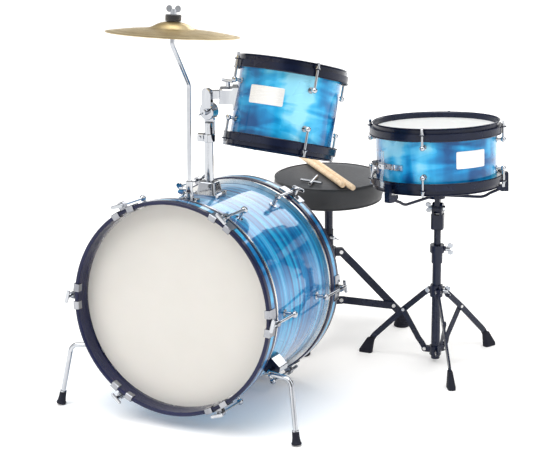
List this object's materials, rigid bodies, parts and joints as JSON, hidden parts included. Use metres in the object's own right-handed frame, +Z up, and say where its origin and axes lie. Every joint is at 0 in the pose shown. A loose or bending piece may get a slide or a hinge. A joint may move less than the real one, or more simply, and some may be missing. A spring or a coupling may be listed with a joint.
{
  "type": "acoustic drum kit",
  "caption": "Junior acoustic drum kit with bass drum, mounted tom and cymbal, snare on a folding tripod stand, and a round padded throne with sticks.",
  "frame": {"origin": "on the floor under the middle of the kit's bounding box", "axes": "+Z up, +Y from the bass drum's front toward the player, +X to the viewer's right when facing the front"},
  "size_m": [0.7765, 0.9034, 0.8318],
  "materials": {
    "blue_wrap": "gloss wrap over wood",
    "hoop_lacquer": "black lacquered wood",
    "hoop_inlay": "gloss",
    "drum_head": "coated film",
    "chrome": "polished",
    "black_metal": "semi-gloss enamel",
    "black_rubber": "matt",
    "clear_strap": "clear film",
    "brass": "lathed",
    "felt": "felt",
    "seat_vinyl": "grained vinyl",
    "stick_maple": "sanded"
  },
  "bodies": {
    "kit": {"bass_shell": "blue_wrap", "bass_hoops": "hoop_lacquer", "bass_hoop_inlays": "hoop_inlay", "bass_heads": "drum_head", "bass_claws": "chrome", "bass_tension_rods": "chrome", "bass_lugs": "chrome", "spur_brackets": "chrome", "tom_mount_plate": "chrome", "cymbal_bracket": "chrome", "stand_base_tube": "black_metal", "throne_base_tube": "black_metal", "clamp_bolts": "chrome"},
    "left_spur": {"spur_left_leg": "chrome"},
    "right_spur": {"spur_right_leg": "chrome"},
    "tom_post_body": {"tom_post": "chrome"},
    "tom_socket": {"tom_memory_clamp": "chrome", "tom_socket_tube": "chrome"},
    "tom": {"tom_tilt_arm": "chrome", "tom_bracket": "chrome", "tom_shell": "blue_wrap", "tom_hoops": "black_metal", "tom_heads": "drum_head", "tom_lugs": "chrome", "tom_tension_rods": "chrome", "tom_tilt_screw": "chrome"},
    "arm_bush": {"cymbal_arm_bush": "black_rubber"},
    "arm": {"cymbal_arm": "chrome"},
    "felts": {"cymbal_felts": "felt"},
    "cymbal_plate": {"cymbal": "brass"},
    "wing_nut": {"cymbal_wing_nut": "chrome"},
    "stand_tube": {"stand_upper_tube": "black_metal"},
    "basket": {"snare_basket": "black_metal"},
    "snare": {"snare_shell": "blue_wrap", "snare_hoops": "black_metal", "snare_heads": "drum_head", "snare_lugs": "chrome", "snare_tension_rods": "chrome", "snare_wires": "clear_strap", "snare_strainer": "chrome", "snare_butt_plate": "chrome"},
    "lever": {"snare_lever": "chrome"},
    "stand_collar": {"stand_leg_collar": "black_metal"},
    "seat_tube": {"seat_post": "black_metal"},
    "seat": {"seat_cushion": "seat_vinyl"},
    "throne_ring": {"throne_brace_collar": "black_metal"},
    "sticks": {"drumsticks": "stick_maple"},
    "key": {"drum_key": "chrome"},
    "stand_leg_body_1": {"stand_leg_1": "black_metal"},
    "stand_brace_body_1": {"stand_brace_1": "black_metal"},
    "stand_leg_body_2": {"stand_leg_2": "black_metal"},
    "stand_brace_body_2": {"stand_brace_2": "black_metal"},
    "stand_leg_body_3": {"stand_leg_3": "black_metal"},
    "stand_brace_body_3": {"stand_brace_3": "black_metal"},
    "throne_leg_body_1": {"throne_leg_1": "black_metal"},
    "throne_brace_body_1": {"throne_brace_1": "black_metal"},
    "throne_leg_body_2": {"throne_leg_2": "black_metal"},
    "throne_brace_body_2": {"throne_brace_2": "black_metal"},
    "throne_leg_body_3": {"throne_leg_3": "black_metal"},
    "throne_brace_body_3": {"throne_brace_3": "black_metal"}
  },
  "joints": [
    {"name": "left_spur_fold", "type": "hinge", "parent": "kit", "child": "left_spur", "pos_m": [-0.30729, -0.30369, 0.12797], "axis": [0, 0.9963, -0.0858], "range_deg": [0, 60]},
    {"name": "right_spur_fold", "type": "hinge", "parent": "kit", "child": "right_spur", "pos_m": [0.07729, -0.30369, 0.12797], "axis": [0, -0.9963, 0.0858], "range_deg": [0, 60]},
    {"name": "tom_height", "type": "slide", "parent": "kit", "child": "tom_post_body", "axis": [0, 0.0332, 0.9995], "range_m": [-0.04, 0.05]},
    {"name": "tom_swivel", "type": "hinge", "parent": "tom_post_body", "child": "tom_socket", "pos_m": [-0.115, -0.183, 0.4317], "axis": [0, 0.0332, 0.9995], "range_deg": [-45, 60]},
    {"name": "tom_tilt", "type": "hinge", "parent": "tom_socket", "child": "tom", "pos_m": [-0.115, -0.1774, 0.60061], "axis": [-0.1736, -0.9848, 0], "range_deg": [-5, 20]},
    {"name": "cymbal_height", "type": "slide", "parent": "kit", "child": "arm_bush", "axis": [0, 0.0408, 0.9992], "range_m": [-0.003, 0.02]},
    {"name": "cymbal_swing", "type": "hinge", "parent": "arm_bush", "child": "arm", "pos_m": [-0.115, -0.2691, 0.442], "axis": [0, 0.0408, 0.9992], "range_deg": [-60, 60]},
    {"name": "cymbal_rock", "type": "hinge", "parent": "arm", "child": "felts", "pos_m": [-0.11269, -0.32073, 0.80041], "axis": [0.9999, -0.0016, -0.013], "range_deg": [-6, 6], "stiffness_Nm_per_rad": 0.6},
    {"name": "cymbal_spin", "type": "hinge", "parent": "felts", "child": "cymbal_plate", "pos_m": [-0.113, -0.3237, 0.7768], "axis": [0.0131, 0.1246, 0.9921], "continuous": true},
    {"name": "wing_nut_turn", "type": "hinge", "parent": "arm", "child": "wing_nut", "pos_m": [-0.113, -0.3237, 0.7768], "axis": [0.0131, 0.1246, 0.9921], "continuous": true},
    {"name": "stand_height", "type": "slide", "parent": "kit", "child": "stand_tube", "axis": [0, 0, 1], "range_m": [-0.03, 0.07]},
    {"name": "basket_tilt", "type": "hinge", "parent": "stand_tube", "child": "basket", "pos_m": [0.2432, 0.1788, 0.347], "axis": [0.9903, 0.1392, 0], "range_deg": [-15, 15]},
    {"name": "snare_lift", "type": "slide", "parent": "basket", "child": "snare", "axis": [-0.0532, 0.0691, 0.9962], "range_m": [0, 0.12]},
    {"name": "strainer_lever", "type": "hinge", "parent": "snare", "child": "lever", "pos_m": [0.13307, 0.08718, 0.45614], "axis": [-0.6525, 0.7528, -0.087], "range_deg": [0, 70]},
    {"name": "stand_fold", "type": "slide", "parent": "kit", "child": "stand_collar", "axis": [0, 0, 1], "range_m": [0, 0.037]},
    {"name": "stand_leg_fold_1", "type": "hinge", "parent": "stand_collar", "child": "stand_leg_body_1", "pos_m": [0.2262, 0.17844, 0.163], "axis": [-0.0209, 0.9998, 0], "range_deg": [-37.65, 0]},
    {"name": "stand_brace_fold_1", "type": "hinge", "parent": "kit", "child": "stand_brace_body_1", "pos_m": [0.21921, 0.1783, 0.027], "axis": [-0.0209, 0.9998, 0], "range_deg": [0, 27]},
    {"name": "stand_leg_fold_2", "type": "hinge", "parent": "stand_collar", "child": "stand_leg_body_2", "pos_m": [0.25139, 0.1937, 0.163], "axis": [0.8763, -0.4818, 0], "range_deg": [-37.65, 0]},
    {"name": "stand_brace_fold_2", "type": "hinge", "parent": "kit", "child": "stand_brace_body_2", "pos_m": [0.25476, 0.19983, 0.027], "axis": [0.8763, -0.4818, 0], "range_deg": [0, 27]},
    {"name": "stand_leg_fold_3", "type": "hinge", "parent": "stand_collar", "child": "stand_leg_body_3", "pos_m": [0.25201, 0.16426, 0.163], "axis": [-0.8554, -0.518, 0], "range_deg": [-37.65, 0]},
    {"name": "stand_brace_fold_3", "type": "hinge", "parent": "kit", "child": "stand_brace_body_3", "pos_m": [0.25563, 0.15827, 0.027], "axis": [-0.8554, -0.518, 0], "range_deg": [0, 27]},
    {"name": "throne_height", "type": "slide", "parent": "kit", "child": "seat_tube", "axis": [0, 0, 1], "range_m": [-0.05, 0.06]},
    {"name": "seat_spin", "type": "hinge", "parent": "seat_tube", "child": "seat", "pos_m": [-0.048, 0.273, 0.313], "axis": [0, 0, 1], "continuous": true},
    {"name": "throne_fold", "type": "slide", "parent": "kit", "child": "throne_ring", "axis": [0, 0, 1], "range_m": [0, 0.0562]},
    {"name": "throne_leg_fold_1", "type": "hinge", "parent": "kit", "child": "throne_leg_body_1", "pos_m": [-0.02374, 0.28758, 0.1874], "axis": [0.515, -0.8572, 0], "range_deg": [-38.82, 0]},
    {"name": "throne_brace_fold_1", "type": "hinge", "parent": "throne_ring", "child": "throne_brace_body_1", "pos_m": [-0.02366, 0.28763, 0.072], "axis": [0.515, -0.8572, 0], "range_deg": [-75.99, 0]},
    {"name": "throne_leg_fold_2", "type": "hinge", "parent": "kit", "child": "throne_leg_body_2", "pos_m": [-0.07275, 0.28672, 0.1874], "axis": [0.4848, 0.8746, 0], "range_deg": [-38.82, 0]},
    {"name": "throne_brace_fold_2", "type": "hinge", "parent": "throne_ring", "child": "throne_brace_body_2", "pos_m": [-0.07284, 0.28677, 0.072], "axis": [0.4848, 0.8746, 0], "range_deg": [-75.99, 0]},
    {"name": "throne_leg_fold_3", "type": "hinge", "parent": "kit", "child": "throne_leg_body_3", "pos_m": [-0.04751, 0.2447, 0.1874], "axis": [-0.9998, -0.0175, 0], "range_deg": [-38.82, 0]},
    {"name": "throne_brace_fold_3", "type": "hinge", "parent": "throne_ring", "child": "throne_brace_body_3", "pos_m": [-0.0475, 0.2446, 0.072], "axis": [-0.9998, -0.0175, 0], "range_deg": [-75.99, 0]},
    {"name": "sticks_lift", "type": "slide", "parent": "seat_tube", "child": "sticks", "axis": [0, 0, 1], "range_m": [0, 0.3]},
    {"name": "key_lift", "type": "slide", "parent": "seat_tube", "child": "key", "axis": [0, 0, 1], "range_m": [0, 0.3]}
  ],
  "couplings": [
    {"joint": "stand_leg_fold_1", "follows": "stand_fold", "rad_per_m": -17.75},
    {"joint": "stand_brace_fold_1", "follows": "stand_fold", "rad_per_m": 12.728},
    {"joint": "stand_leg_fold_2", "follows": "stand_fold", "rad_per_m": -17.75},
    {"joint": "stand_brace_fold_2", "follows": "stand_fold", "rad_per_m": 12.728},
    {"joint": "stand_leg_fold_3", "follows": "stand_fold", "rad_per_m": -17.75},
    {"joint": "stand_brace_fold_3", "follows": "stand_fold", "rad_per_m": 12.728},
    {"joint": "throne_leg_fold_1", "follows": "throne_fold", "rad_per_m": -12.049},
    {"joint": "throne_brace_fold_1", "follows": "throne_fold", "rad_per_m": -23.592},
    {"joint": "throne_leg_fold_2", "follows": "throne_fold", "rad_per_m": -12.049},
    {"joint": "throne_brace_fold_2", "follows": "throne_fold", "rad_per_m": -23.592},
    {"joint": "throne_leg_fold_3", "follows": "throne_fold", "rad_per_m": -12.049},
    {"joint": "throne_brace_fold_3", "follows": "throne_fold", "rad_per_m": -23.592}
  ]
}
